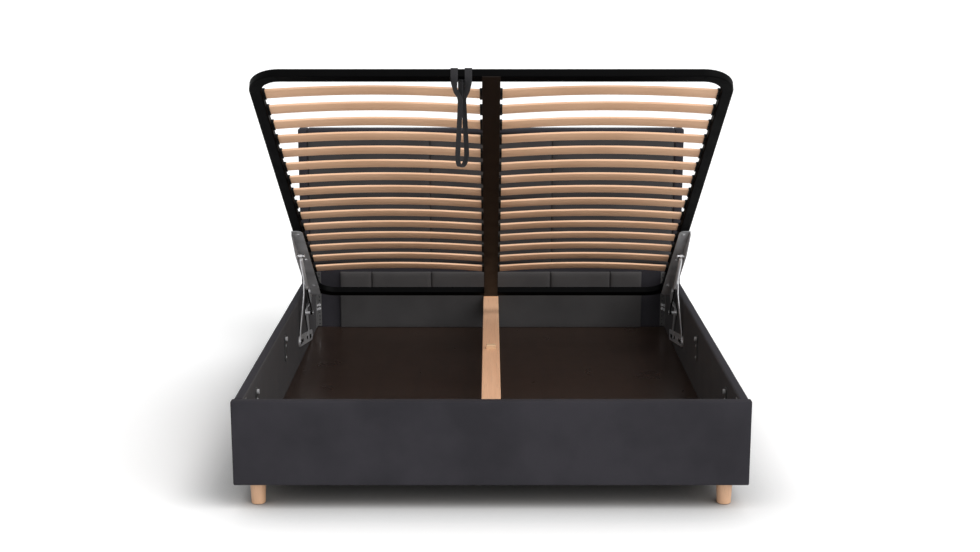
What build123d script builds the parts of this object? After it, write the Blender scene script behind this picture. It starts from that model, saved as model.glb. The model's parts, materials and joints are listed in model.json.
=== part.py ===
from build123d import *
import math
import os

# Ottoman storage bed, stored with its slat frame raised.
# Millimetres. X across the bed, Y from foot to head, Z up from the floor.
# The shapes are drawn with Y = 0 at the foot panel's front face, and saved with Y = 0 at the bed's middle.

overrun = 20.0
face_gap = 0.3
running_gap = 0.05

# Slat frame
frame_width = 1600.0
frame_length = 1962.0
tube_width = 40.0
tube_depth = 28.0
tube_wall = 1.5
tube_edge_cut = 2.5
frame_bend_radius = 90.0
centre_bar_width = 60.0
centre_bar_wall = 3.0
open_angle = 34.2

# Slats and their holders
slat_count = 15
slat_width = 53.0
slat_thickness = 8.0
slat_camber = 15.0
slat_pitch = 109.3
first_slat_run = 262.0
slat_seat_height = 0.0
slat_grip = 5.0
holder_reach = 8.0
holder_side_wall = 2.0
holder_cover = 3.0

# Storage box
leg_height = 85.0
foot_panel_width = 1723.0
foot_panel_thickness = 35.0
foot_panel_height = 292.0
cover_thickness = 3.0
cover_edge_radius = 8.0
rail_thickness = 34.0
rail_drop = 1.0
rail_edge_radius = 7.0
side_gap = 23.0
foot_gap = 38.0
head_gap = 65.0
frame_rise = 1.0
floor_thickness = 6.0
batten_height = 10.0
batten_width = 30.0
corner_block_size = 90.0
floor_joint_gap = 0.6

# Headboard
headboard_width = 1785.0
headboard_top = 1040.0
headboard_thickness = 80.0
border_width = 42.0
border_top_width = 22.5
border_edge_radius = 10.0
headboard_board_thickness = 20.0
headboard_back_thickness = 4.0
headboard_batten_width = 60.0
tile_thickness = 28.0
tile_crown = 7.0
tile_crown_inset = 34.0
tile_corner = 8.0
tile_side_draw = 2.0
tile_seam_gap = 0.8
tile_columns = 3
tile_row_height = 306.5
tile_rows = 2
lower_panel_thickness = 28.0
head_end_side_gap = 113.0
head_end_thickness = 20.0
head_end_top = 370.0
head_end_tile_height = 100.0
head_end_seam_shares = (0, 0.394, 0.789, 1)
head_end_tile_crown = 4.0
head_end_tile_inset = 12.0
head_end_tile_corner = 7.0

# Legs and centre support
leg_top_radius = 26.0
leg_foot_radius = 22.5
leg_side_inset = 30.0
leg_end_inset = 32.0
leg_sides = 24
beam_width = 70.0
beam_depth = 32.0
beam_top = 254.0
beam_chamfer = 2.0
beam_block_width = 62.0
beam_block_depth = 44.0
beam_block_length = 36.0
beam_stop_height = 12.0
beam_stop_length = 16.0
peg_width = 38.0
peg_length = 24.0
peg_height = 18.0
peg_chamfer = 3.0
centre_leg_radius = 20.0
centre_leg_place = 1130.0
centre_leg_clearance = 1.0

# Corner brackets and guide plates
bracket_thickness = 3.0
bracket_rail_flange = 50.0
bracket_face_flange = 22.0
bracket_bottom_gap = 4.0
bracket_height = 262.0
bracket_hole_radius = 3.5
bracket_hole_sides = 6
bracket_hole_pitch = 18.5
bracket_hole_count = 14
bracket_first_hole = 11.0
bracket_bolt_holes = (4, 5)
corner_bolt_radius = 7.0
corner_bolt_height = 5.0
guide_plate_width = 34.0
guide_plate_height = 104.0
guide_plate_thickness = 4.0
guide_plate_top = 338.0
guide_plate_corner = 6.0
guide_plate_places = (294.0, 1020.0)
guide_knob_radius = 9.0
guide_knob_height = 8.0
guide_screw_radius = 5.0
guide_screw_height = 2.5
guide_screw_inset = 14.0
rest_width = 200.0
rest_depth = 72.0
rest_thickness = 18.0
rest_brace_height = 60.0
rest_place = 420.0

# Lift mechanism
pin_sides = 16
head_shift = 262.0
head_drop = 11.0
arm_length = 700.0
arm_thickness = 3.0
arm_overhang = 5.0
arm_flange_width = 44.0
arm_flange_depth = 46.0
arm_end_depth = 16.0
arm_taper_start = 545.0
arm_corner_radius = 22.0
arm_bolt_radius = 7.0
arm_bolt_height = 4.0
arm_bolt_runs = (115.0, 410.0, 670.0)
pivot_drop = 40.0
front_arm_run = 305.0
rear_arm_run = 105.0
front_base_reach = 308.0
rear_base_reach = 18.0
pin_radius = 6.0
pin_head_radius = 10.0
pin_head_height = 4.0
link_width = 24.0
link_thickness = 4.0
front_crank_shares = (0.15, 0.70)
rear_crank_shares = (0.69, 0.78)
link_eye_radius = 14.0
base_thickness = 4.0
base_width = 48.0
base_hole_radius = 5.5
base_hole_shares = (0.59, 1.40)
base_bolt_shares = (0.27, 0.80, 1.20)
base_bolt_radius = 8.0
base_bolt_height = 4.0
base_end_share = 1.40

# Gas springs
gas_arm_run = 512.0
gas_arm_drop = 44.0
gas_link_reach = 113.0
gas_link_drop = 72.0
gas_radius = 7.5
gas_body_length = 235.0
gas_neck_length = 22.0
gas_neck_radius = 4.5
gas_eye_radius = 7.0
gas_pin_radius = 4.0
gas_pin_reach = 8.0
gas_pin_head_radius = 6.0
gas_pin_head_height = 3.0
gas_wall = 1.5
gas_cap_length = 12.0
rod_radius = 3.5
rod_end_radius = 8.0
rod_shank_length = 24.0
rod_shank_radius = 5.5
piston_length = 10.0
boss_radius = 7.0

# Pull strap
strap_width = 24.0
strap_thickness = 2.6
strap_place = -93.0
strap_band_offset = 23.0
strap_turn = 42.0
strap_arc_share = 0.45

# Levels and places that follow
rail_bottom = leg_height
foot_panel_top = leg_height + foot_panel_height
rail_top = foot_panel_top - rail_drop
floor_bottom = rail_bottom + batten_height
floor_top = floor_bottom + floor_thickness
rail_inner = frame_width / 2 + side_gap
rail_outer = rail_inner + rail_thickness
closed_head_y = foot_panel_thickness + foot_gap + frame_length - tube_width / 2
closed_head_z = rail_top + frame_rise - tube_depth / 2
open_head_y = closed_head_y - head_shift
open_head_z = closed_head_z - head_drop
headboard_front = closed_head_y + tube_width / 2 + head_gap
headboard_back = headboard_front + headboard_thickness
head_end_face = headboard_front - head_end_thickness
head_end_width = 2 * (rail_inner - head_end_side_gap)
foot_run = frame_length - tube_width
bracket_hole_x = rail_inner - (bracket_face_flange + bracket_thickness) / 2

# Layers of the mechanism, from the rail inwards
base_face = rail_inner - base_thickness
link_outer = base_face - face_gap
link_inner = link_outer - link_thickness
arm_outer = frame_width / 2 + arm_overhang
arm_face = arm_outer - arm_thickness
upper_link_outer = arm_face - face_gap
upper_link_inner = upper_link_outer - link_thickness
gas_outer = upper_link_inner - face_gap
gas_x = gas_outer - gas_radius
gas_inner = gas_x - gas_radius

closed_frame_spot = (closed_head_y, closed_head_z)
open_frame_spot = (open_head_y, open_head_z)


def on_frame(run, drop, spot, degrees):
    """Y and Z of a point of the slat frame, at a run from the head bar and a drop below the tube's axis."""
    turn = math.radians(degrees)
    y = spot[0] - run * math.cos(turn) - drop * math.sin(turn)
    z = spot[1] + run * math.sin(turn) - drop * math.cos(turn)
    return y, z


def base_pivot(run, drop, reach):
    """The fixed pivot of a link, as far from its arm pivot with the frame raised as with it closed."""
    y1, z1 = on_frame(run, drop, open_frame_spot, open_angle)
    y2, z2 = on_frame(run, drop, closed_frame_spot, 0)
    y = open_head_y - reach
    z = (z1 + z2) / 2 + ((y1 + y2) / 2 - y) * (y2 - y1) / (z2 - z1)
    return y, z


def swing(pivot, start, end):
    """Degrees from start to end round a pivot."""
    first = math.atan2(start[1] - pivot[1], start[0] - pivot[0])
    last = math.atan2(end[1] - pivot[1], end[0] - pivot[0])
    return math.degrees(last - first)


def turned(point, pivot, degrees):
    """A point in the Y Z plane after a turn round a pivot."""
    turn = math.radians(degrees)
    y = point[0] - pivot[0]
    z = point[1] - pivot[1]
    new_y = pivot[0] + y * math.cos(turn) - z * math.sin(turn)
    new_z = pivot[1] + y * math.sin(turn) + z * math.cos(turn)
    return new_y, new_z


front_arm_pivot = on_frame(front_arm_run, pivot_drop, open_frame_spot, open_angle)
rear_arm_pivot = on_frame(rear_arm_run, pivot_drop, open_frame_spot, open_angle)
front_base_pivot = base_pivot(front_arm_run, pivot_drop, front_base_reach)
rear_base_pivot = base_pivot(rear_arm_run, pivot_drop, rear_base_reach)
front_arm_closed = on_frame(front_arm_run, pivot_drop, closed_frame_spot, 0)
rear_arm_closed = on_frame(rear_arm_run, pivot_drop, closed_frame_spot, 0)
front_swing = swing(front_base_pivot, front_arm_pivot, front_arm_closed)
rear_swing = swing(rear_base_pivot, rear_arm_pivot, rear_arm_closed)
gas_arm_pivot = on_frame(gas_arm_run, gas_arm_drop, open_frame_spot, open_angle)
gas_link_pivot = (open_head_y - gas_link_reach, open_head_z - gas_link_drop)
gas_arm_closed = on_frame(gas_arm_run, gas_arm_drop, closed_frame_spot, 0)
gas_link_closed = turned(gas_link_pivot, rear_base_pivot, rear_swing)
gas_open_length = math.dist(gas_arm_pivot, gas_link_pivot)
gas_closed_length = math.dist(gas_arm_closed, gas_link_closed)
gas_stroke = gas_open_length - gas_closed_length


def save(shape, node):
    """Writes one sub-part, moved so that the origin is the middle of the bed's floor area."""
    export_step(Pos(0, -headboard_back / 2, 0) * shape, "parts/" + node + ".step")


def block(low, high):
    """A box between two corners."""
    size = [high[i] - low[i] for i in range(len(low))]
    corner = (Align.MIN, Align.MIN, Align.MIN)
    return Pos(*low) * Box(*size, align=corner)


def both_sides(shape):
    """A shape of the right side with its mirror image."""
    return [shape, mirror(shape, Plane.YZ)]


def raised(shape):
    """Moves a shape from the flat frame's own axes to its place with the frame raised."""
    return Location((0, open_head_y, open_head_z), (-open_angle, 0, 0)) * shape


def prism(radius, height, sides):
    """A bar with flat sides that stands on its seat, its corners on the radius."""
    return extrude(RegularPolygon(radius, side_count=sides), amount=height)


def across(radius, inner_x, outer_x, spot):
    """A near-round bar along X between two places."""
    return Pos(inner_x, spot[0], spot[1]) * Rot(0, 90, 0) * prism(radius, outer_x - inner_x, pin_sides)


def hole_across(radius, inner_x, outer_x, spot):
    """A hole along X in which a bar of the radius can turn."""
    return across(radius / math.cos(math.pi / pin_sides), inner_x, outer_x, spot)


def hexagon(radius, height):
    """A bolt's head, standing on its seat."""
    return prism(radius, height, 6)


def hexagon_across(radius, inner_x, outer_x, spot):
    """A bolt's head along X between two places."""
    return Pos(inner_x, spot[0], spot[1]) * Rot(0, 90, 0) * hexagon(radius, outer_x - inner_x)


def plate(outline, inner_x, outer_x):
    """A flat plate in the Y Z plane from a face drawn with Y and Z."""
    face = Plane.YZ * outline
    return Pos(inner_x, 0, 0) * extrude(face, amount=outer_x - inner_x)


def bar_outline(start, end, width, eye_radius):
    """A straight bar with a round eye at each end."""
    length = math.dist(start, end)
    tilt = math.degrees(math.atan2(end[1] - start[1], end[0] - start[0]))
    middle = ((start[0] + end[0]) / 2, (start[1] + end[1]) / 2)
    body = Location((middle[0], middle[1], 0), (0, 0, tilt)) * Rectangle(length, width)
    return body + Pos(start[0], start[1]) * Circle(eye_radius) + Pos(end[0], end[1]) * Circle(eye_radius)


def long_edges(shape, axis, low_z):
    """Edges along an axis that lie above a level."""
    return [edge for edge in shape.edges().filter_by(axis) if edge.center().Z > low_z]


# Foot panel
def foot_panel_board():
    half = foot_panel_width / 2 - cover_thickness
    top = foot_panel_top - cover_thickness
    return block((-half, cover_thickness, rail_bottom), (half, foot_panel_thickness - cover_thickness, top))


def foot_panel_cover():
    half = foot_panel_width / 2
    body = block((-half, 0, rail_bottom), (half, foot_panel_thickness, foot_panel_top))
    body = fillet(long_edges(body, Axis.X, rail_top), cover_edge_radius)
    return body - foot_panel_board()


# Side rails
def rail_board():
    low = (rail_inner + cover_thickness, foot_panel_thickness, rail_bottom + cover_thickness)
    high = (rail_outer - cover_thickness, headboard_front, rail_top - cover_thickness)
    return block(low, high)


def rail_cover():
    body = block((rail_inner, foot_panel_thickness, rail_bottom), (rail_outer, headboard_front, rail_top))
    body = fillet(long_edges(body, Axis.Y, rail_top - cover_thickness), rail_edge_radius)
    return body - rail_board()


# Headboard
def headboard_border():
    half = headboard_width / 2
    body = block((-half, headboard_front, rail_bottom), (half, headboard_back, headboard_top))
    front = [edge for edge in body.edges() if edge.center().Y < headboard_front + cover_thickness]
    front = [edge for edge in front if edge.center().Z > rail_bottom + cover_thickness]
    top = [edge for edge in body.edges().filter_by(Axis.Y) if edge.center().Z > rail_top]
    body = fillet(front + top, border_edge_radius)
    hole_half = half - border_width
    low = (-hole_half, headboard_front - overrun, rail_bottom - overrun)
    high = (hole_half, headboard_back + overrun, headboard_top - border_top_width)
    return body - block(low, high)


def headboard_board():
    """A front board and a thin back sheet on a frame of battens, with two closed hollows between."""
    half = headboard_width / 2 - border_width
    top = headboard_top - border_top_width
    front = headboard_front + tile_thickness
    back = headboard_back
    body = block((-half, front, rail_bottom), (half, back, top))
    stile = headboard_batten_width / 2
    low = (stile, front + headboard_board_thickness, rail_bottom + headboard_batten_width)
    high = (half - headboard_batten_width, back - headboard_back_thickness, top - headboard_batten_width)
    for hollow in both_sides(block(low, high)):
        body -= hollow
    return body


def pillow(width, height, depth, crown, inset, corner):
    """A padded tile that faces -Y: flat back, sides that draw in, and a crowned face."""
    back = Plane.XZ * tile_section(width, height, 0, corner)
    side = Pos(0, crown - depth, 0) * (Plane.XZ * tile_section(width, height, tile_side_draw, corner))
    face = tile_section(width - 2 * inset, height - 2 * inset, tile_side_draw, corner)
    face = Pos(0, -depth, 0) * (Plane.XZ * face)
    return loft([back, side], ruled=True) + loft([side, face], ruled=True)


def tile_section(width, height, draw, corner):
    """A rectangle with cut corners whose four sides draw in towards their middles."""
    x = width / 2
    z = height / 2
    flat_x = x - corner
    flat_z = z - corner
    points = [(x, flat_z), (flat_x, z), (0, z - draw), (-flat_x, z), (-x, flat_z), (draw - x, 0)]
    points += [(-x, -flat_z), (-flat_x, -z), (0, draw - z), (flat_x, -z), (x, -flat_z), (x - draw, 0)]
    return make_face(Polyline(*points, close=True))


def headboard_tiles():
    field = headboard_width - 2 * border_width
    column = field / tile_columns
    top = headboard_top - border_top_width
    tile = pillow(column - tile_seam_gap, tile_row_height - tile_seam_gap, tile_thickness, tile_crown,
                  tile_crown_inset, tile_corner)
    tiles = []
    for row in range(tile_rows):
        z = top - (row + 1 / 2) * tile_row_height
        for place in range(tile_columns):
            x = (place + 1 / 2) * column - field / 2
            tiles.append(Pos(x, headboard_front + tile_thickness, z) * tile)
    return tiles


def headboard_lower_panel():
    half = headboard_width / 2 - border_width
    top = headboard_top - border_top_width - tile_rows * tile_row_height - tile_seam_gap
    return block((-half, headboard_front, rail_bottom), (half, headboard_front + lower_panel_thickness, top))


def head_end_panel():
    half = head_end_width / 2
    top = head_end_top - head_end_tile_height
    return block((-half, head_end_face, floor_top), (half, headboard_front, top - tile_seam_gap))


def head_end_tiles():
    """A row of small tiles: whole ones out from the middle, and a cut one at each end."""
    seams = [share * head_end_width / 2 for share in head_end_seam_shares]
    z = head_end_top - head_end_tile_height / 2
    tiles = []
    for start, end in zip(seams, seams[1:]):
        tile = pillow(end - start - tile_seam_gap, head_end_tile_height - tile_seam_gap, head_end_thickness,
                      head_end_tile_crown, head_end_tile_inset, head_end_tile_corner)
        tiles += both_sides(Pos((start + end) / 2, headboard_front, z) * tile)
    return tiles


# Storage floor
def floor_panel():
    low = (floor_joint_gap / 2, foot_panel_thickness, floor_bottom)
    body = block(low, (rail_inner, headboard_front, floor_top))
    notch = Cylinder(centre_leg_radius + centre_leg_clearance, 2 * overrun + floor_thickness)
    return body - Pos(0, centre_leg_place, floor_bottom) * notch


def floor_battens():
    """Corner blocks over the legs, strips along the walls and one strip across the middle."""
    foot_y = foot_panel_thickness
    near = foot_y + corner_block_size
    far = headboard_front - corner_block_size
    inner = rail_inner - corner_block_size
    reach = rail_inner - batten_width
    cross = centre_leg_place + centre_leg_radius + centre_leg_clearance
    pieces = []
    for low_x, low_y, high_y in ((inner, foot_y, near), (inner, far, headboard_front), (reach, near, far)):
        pieces += both_sides(block((low_x, low_y, rail_bottom), (rail_inner, high_y, floor_bottom)))
    for half, low_y in ((inner, foot_y), (inner, headboard_front - batten_width), (reach, cross)):
        pieces.append(block((-half, low_y, rail_bottom), (half, low_y + batten_width, floor_bottom)))
    return pieces


# Legs
def leg(y):
    """A tapered leg of the right side, under the box's corner block."""
    foot = RegularPolygon(leg_foot_radius, side_count=leg_sides)
    top = Pos(0, 0, leg_height) * RegularPolygon(leg_top_radius, side_count=leg_sides)
    return Pos(rail_inner - leg_side_inset, y, 0) * loft([foot, top], ruled=True)


def front_legs():
    return both_sides(leg(foot_panel_thickness + leg_end_inset))


def rear_legs():
    return both_sides(leg(headboard_front - leg_end_inset))


# Centre support
def centre_beam():
    half = beam_width / 2
    body = block((-half, foot_panel_thickness, beam_top - beam_depth), (half, head_end_face, beam_top))
    return chamfer(body.edges().filter_by(Axis.Y), beam_chamfer)


def beam_blocks():
    """A cleat under each end of the beam, the stop at its head end and the peg on its middle."""
    half = beam_block_width / 2
    bottom = beam_top - beam_depth
    foot_y = foot_panel_thickness
    low_z = bottom - beam_block_depth
    pieces = [block((-half, foot_y, low_z), (half, foot_y + beam_block_length, bottom))]
    pieces.append(block((-half, head_end_face - beam_block_length, low_z), (half, head_end_face, bottom)))
    stop_y = head_end_face - beam_stop_length
    pieces.append(block((-half, stop_y, beam_top), (half, head_end_face, beam_top + beam_stop_height)))
    peg_y = centre_leg_place - peg_length / 2
    half = peg_width / 2
    peg = block((-half, peg_y, beam_top), (half, peg_y + peg_length, beam_top + peg_height))
    pieces.append(chamfer(peg.edges().group_by(Axis.Z)[-1], peg_chamfer))
    return pieces


def centre_leg():
    return Pos(0, centre_leg_place, 0) * prism(centre_leg_radius, beam_top - beam_depth, leg_sides)


# Corner brackets, their bolts, guide plates and rests
def bracket_hole_level(place):
    return floor_top + bracket_bottom_gap + bracket_first_hole + place * bracket_hole_pitch


def bracket(wall_y, inward):
    """A steel angle in a corner, with its wide flange on the rail."""
    low_z = floor_top + bracket_bottom_gap
    high_z = low_z + bracket_height
    y_ends = sorted((wall_y, wall_y + inward * bracket_rail_flange))
    rail_flange = block((rail_inner - bracket_thickness, y_ends[0], low_z), (rail_inner, y_ends[1], high_z))
    y_ends = sorted((wall_y, wall_y + inward * bracket_thickness))
    inner = rail_inner - bracket_face_flange
    face_flange = block((inner, y_ends[0], low_z), (rail_inner, y_ends[1], high_z))
    return rail_flange + face_flange


def perforated_bracket():
    """The bracket of the head end, with a row of holes in its face flange."""
    body = bracket(headboard_front, -1)
    outline = RegularPolygon(bracket_hole_radius, side_count=bracket_hole_sides)
    drill = extrude(Plane.XZ * outline, amount=bracket_thickness + overrun, both=True)
    for place in range(bracket_hole_count):
        body -= Pos(bracket_hole_x, headboard_front, bracket_hole_level(place)) * drill
    return body


def corner_brackets():
    return both_sides(perforated_bracket()) + both_sides(bracket(foot_panel_thickness, 1))


def corner_bolts():
    """Two bolts on each flange of each bracket."""
    head = hexagon(corner_bolt_radius, corner_bolt_height)
    bolts = []
    for wall_y, inward in ((headboard_front, -1), (foot_panel_thickness, 1)):
        for place in bracket_bolt_holes:
            z = bracket_hole_level(place)
            side = Pos(rail_inner - bracket_thickness, wall_y + inward * bracket_rail_flange / 2, z)
            bolts += both_sides(side * Rot(0, -90, 0) * head)
            face = Pos(bracket_hole_x, wall_y + inward * bracket_thickness, z)
            bolts += both_sides(face * Rot(-inward * 90, 0, 0) * head)
    return bolts


def guide_plates():
    pieces = []
    for place in guide_plate_places:
        half = guide_plate_width / 2
        low = (rail_inner - guide_plate_thickness, place - half, guide_plate_top - guide_plate_height)
        body = block(low, (rail_inner, place + half, guide_plate_top))
        pieces += both_sides(chamfer(body.edges().filter_by(Axis.X), guide_plate_corner))
    return pieces


def guide_knobs():
    """The round knob at the top of each guide plate, with its two screws below."""
    x = rail_inner - guide_plate_thickness
    pieces = []
    for place in guide_plate_places:
        knob_z = guide_plate_top - guide_knob_radius - guide_plate_corner
        pieces += both_sides(across(guide_knob_radius, x - guide_knob_height, x, (place, knob_z)))
        for z in (knob_z - 2 * guide_screw_inset, guide_plate_top - guide_plate_height + guide_screw_inset):
            pieces += both_sides(hexagon_across(guide_screw_radius, x - guide_screw_height, x, (place, z)))
    return pieces


def frame_rests():
    """Two brackets on the foot panel that carry the closed frame's foot bar."""
    top = closed_head_z - tube_depth / 2 - face_gap
    foot_y = foot_panel_thickness
    half = rest_width / 2
    under = top - rest_thickness
    low_z = under - rest_brace_height
    shelf = block((rest_place - half, foot_y, under), (rest_place + half, foot_y + rest_depth, top))
    brace = Polyline((foot_y, under), (foot_y, low_z), (foot_y + rest_thickness, low_z),
                     (foot_y + rest_depth, under), (foot_y, under))
    web = plate(make_face(brace), rest_place - rest_thickness / 2, rest_place + rest_thickness / 2)
    return both_sides(shelf + web)


# Hinge bases and pins of the box
def along_base(share):
    """A point on the line through the two fixed pivots."""
    y = front_base_pivot[0] + share * (rear_base_pivot[0] - front_base_pivot[0])
    z = front_base_pivot[1] + share * (rear_base_pivot[1] - front_base_pivot[1])
    return y, z


def hinge_base():
    outline = bar_outline(along_base(0), along_base(base_end_share), base_width, base_width / 2)
    body = plate(outline, base_face, rail_inner)
    for share in base_hole_shares:
        body -= hole_across(base_hole_radius, base_face - overrun, rail_inner + overrun, along_base(share))
    return body


def hinge_pins():
    """The fixed pivot pins of the links and the bolts that hold the bases."""
    pieces = []
    for spot in (front_base_pivot, rear_base_pivot):
        end = link_inner - face_gap
        shank = across(pin_radius, end, base_face, spot)
        cap = hexagon_across(pin_head_radius, end - pin_head_height, end, spot)
        pieces += both_sides(shank + cap)
    for share in base_bolt_shares:
        start = base_face - base_bolt_height
        pieces += both_sides(hexagon_across(base_bolt_radius, start, base_face, along_base(share)))
    return pieces


# Links
def eye(spot, radius):
    return hole_across(radius + running_gap, upper_link_inner - overrun, link_outer + overrun, spot)


def cranked(outline, start, end, crank_shares):
    """A flat bar of that outline, which steps inwards on its way from its lower to its upper pivot."""
    length = math.dist(start, end)
    y = (end[0] - start[0]) / length
    z = (end[1] - start[1]) / length
    first, last = (share * length for share in crank_shares)
    corners = [(-length, link_inner), (first, link_inner), (last, upper_link_inner)]
    corners += [(2 * length, upper_link_inner), (2 * length, upper_link_outer)]
    corners += [(last, upper_link_outer), (first, link_outer), (-length, link_outer)]
    side = Plane(origin=(0, start[0], start[1]), x_dir=(0, y, z), z_dir=(0, z, -y))
    band = extrude(side * make_face(Polyline(*corners, close=True)), amount=length, both=True)
    return plate(outline, upper_link_inner, link_outer) & band


def front_link():
    outline = bar_outline(front_base_pivot, front_arm_pivot, link_width, link_eye_radius)
    body = cranked(outline, front_base_pivot, front_arm_pivot, front_crank_shares)
    return body - eye(front_base_pivot, pin_radius) - eye(front_arm_pivot, pin_radius)


def rear_link():
    """The rear link with the tab and boss for the gas spring, and the head of its own upper pin."""
    outline = bar_outline(rear_base_pivot, rear_arm_pivot, link_width, link_eye_radius)
    tab = make_face(Polyline(rear_base_pivot, rear_arm_pivot, gas_link_pivot, rear_base_pivot))
    outline = outline + tab + Pos(gas_link_pivot[0], gas_link_pivot[1]) * Circle(link_width / 2)
    body = cranked(outline, rear_base_pivot, rear_arm_pivot, rear_crank_shares)
    body -= eye(rear_base_pivot, pin_radius)
    head = upper_link_inner - pin_head_height
    body += hexagon_across(pin_head_radius, head, upper_link_inner, rear_arm_pivot)
    body += across(boss_radius, gas_outer + face_gap, link_inner, gas_link_pivot)
    return body


# Lift arms
def lift_arm():
    """A steel angle under the tube: the wide flange is bolted to it, the deep flange hangs outside it."""
    top = -tube_depth / 2
    inner = arm_outer - arm_flange_width
    wide = block((inner, -arm_length, top - arm_thickness), (arm_outer, 0, top))
    corner = [edge for edge in wide.edges().filter_by(Axis.Z) if edge.center().X < arm_face]
    wide = fillet(corner, arm_corner_radius)
    outline = Polyline((0, top), (-arm_length, top), (-arm_length, top - arm_end_depth),
                       (-arm_taper_start, top - arm_flange_depth), (0, top - arm_flange_depth), (0, top))
    deep = plate(make_face(outline), arm_face, arm_outer)
    low_corner = [edge for edge in deep.edges().filter_by(Axis.X) if edge.center().Z < top - arm_thickness]
    deep = fillet(low_corner, arm_end_depth / 2)
    return raised(wide + deep)


def arm_pins():
    """The front links' upper pins and the gas springs' upper pins."""
    end = upper_link_inner - face_gap
    shank = across(pin_radius, end, arm_face, front_arm_pivot)
    cap = hexagon_across(pin_head_radius, end - pin_head_height, end, front_arm_pivot)
    pieces = both_sides(shank + cap)
    end = gas_inner - gas_pin_reach
    shank = across(gas_pin_radius, end, arm_face, gas_arm_pivot)
    cap = hexagon_across(gas_pin_head_radius, end - gas_pin_head_height, end, gas_arm_pivot)
    return pieces + both_sides(shank + cap)


def arm_bolts():
    x = frame_width / 2 - tube_width / 2
    top = -tube_depth / 2 - arm_thickness
    pieces = []
    for run in arm_bolt_runs:
        bolt = hexagon(arm_bolt_radius, arm_bolt_height)
        pieces += both_sides(raised(Pos(x, -run, top - arm_bolt_height) * bolt))
    return pieces


# Gas springs
def along_gas(shape):
    """Turns a shape drawn up along Z to the line from the arm pin to the link's boss."""
    run = gas_link_pivot[0] - gas_arm_pivot[0]
    rise = gas_link_pivot[1] - gas_arm_pivot[1]
    tilt = math.degrees(math.atan2(run, rise))
    return Location((gas_x, gas_arm_pivot[0], gas_arm_pivot[1]), (-tilt, 0, 0)) * shape


def standing(radius, low, high):
    """A near-round bar along the spring's own line."""
    return Pos(0, 0, low) * prism(radius, high - low, pin_sides)


def gas_cylinder():
    end = gas_neck_length + gas_body_length
    neck = standing(gas_neck_radius, gas_pin_radius + gas_wall, gas_neck_length)
    shell = standing(gas_radius, gas_neck_length, end)
    bore = standing(gas_radius - gas_wall, gas_neck_length + gas_cap_length, end - gas_cap_length)
    mouth = standing(rod_radius + face_gap, end - gas_cap_length, end + overrun)
    body = along_gas(neck + shell - bore - mouth)
    ring = across(gas_eye_radius, gas_inner, gas_outer, gas_arm_pivot)
    radius = gas_pin_radius + running_gap
    hole = hole_across(radius, gas_inner - overrun, gas_outer + overrun, gas_arm_pivot)
    return body + ring - hole


def gas_rod():
    """The rod with its piston inside the cylinder and the socket that faces the link's boss."""
    end = gas_neck_length + gas_body_length
    start = end - gas_cap_length - piston_length - face_gap
    piston = standing(gas_radius - gas_wall - face_gap, start, start + piston_length)
    rod = standing(rod_radius, start, gas_open_length)
    shank = standing(rod_shank_radius, gas_open_length - rod_shank_length, gas_open_length)
    body = along_gas(piston + rod + shank)
    return body + across(rod_end_radius, gas_inner, gas_outer, gas_link_pivot)


# Slat frame
def frame_ring(inset, depth):
    """A flat ring along the frame's tube, its walls drawn in by an inset."""
    outer_radius = frame_bend_radius + tube_width / 2 - inset
    inner_radius = frame_bend_radius - tube_width / 2 + inset
    outer = RectangleRounded(frame_width - 2 * inset, frame_length - 2 * inset, outer_radius)
    hole_inset = tube_width - inset
    inner = RectangleRounded(frame_width - 2 * hole_inset, frame_length - 2 * hole_inset, inner_radius)
    ring = extrude(outer - inner, amount=depth / 2, both=True)
    return Pos(0, -foot_run / 2, 0) * ring


def slat_frame_tube():
    """A rectangular tube bent to a closed ring, hollow inside."""
    ring = frame_ring(0, tube_depth)
    levels = ring.edges().group_by(Axis.Z)
    ring = chamfer(levels[0] + levels[-1], tube_edge_cut)
    return raised(ring - frame_ring(tube_wall, tube_depth - 2 * tube_wall))


def slat_frame_centre_bar():
    half = centre_bar_width / 2
    inner_y = -tube_width / 2
    outer_y = -foot_run + tube_width / 2
    low_z = -tube_depth / 2 - centre_bar_wall
    high_z = tube_depth / 2 - centre_bar_wall
    body = block((-half, outer_y, low_z), (half, inner_y, high_z))
    wall = centre_bar_wall
    hole_half = half - wall
    body -= block((-hole_half, outer_y - overrun, low_z + wall),
                  (hole_half, inner_y + overrun, high_z - wall))
    strap = block((-half, outer_y - tube_width, low_z), (half, inner_y + tube_width, low_z + wall))
    return raised(body + strap)


def slat_ends():
    """Where a slat of the right side starts and ends, inside its two holders."""
    reach = holder_reach - slat_grip
    return centre_bar_width / 2 + reach, frame_width / 2 - tube_width - reach


def slat():
    """A sprung slat of the right side, bowed upwards, at the head bar's place."""
    start, end = slat_ends()
    middle = (start + end) / 2
    low = slat_seat_height
    high = low + slat_thickness
    under = ThreePointArc((start, low), (middle, low + slat_camber), (end, low))
    over = ThreePointArc((start, high), (middle, high + slat_camber), (end, high))
    outline = make_face([under, Line(under @ 1, over @ 1), over, Line(over @ 0, under @ 0)])
    return Pos(0, slat_width / 2, 0) * extrude(Plane.XZ * outline, amount=slat_width)


def holder(wall_x, inward):
    """A plastic pocket on a wall, open towards the slat."""
    x_ends = sorted((wall_x, wall_x + inward * holder_reach))
    half = slat_width / 2 + holder_side_wall
    low = slat_seat_height - holder_cover
    high = slat_seat_height + slat_thickness + holder_cover
    body = block((x_ends[0], -half, low), (x_ends[1], half, high))
    closed_end = wall_x + inward * (holder_reach - slat_grip - face_gap)
    pocket_ends = sorted((closed_end, wall_x + inward * (holder_reach + overrun)))
    half = slat_width / 2 + face_gap
    low = slat_seat_height - face_gap
    high = slat_seat_height + slat_thickness + face_gap + slat_grip * slat_camber * 4 / (frame_width / 2)
    pocket = block((pocket_ends[0], -half, low), (pocket_ends[1], half, high))
    return body - pocket


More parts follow.
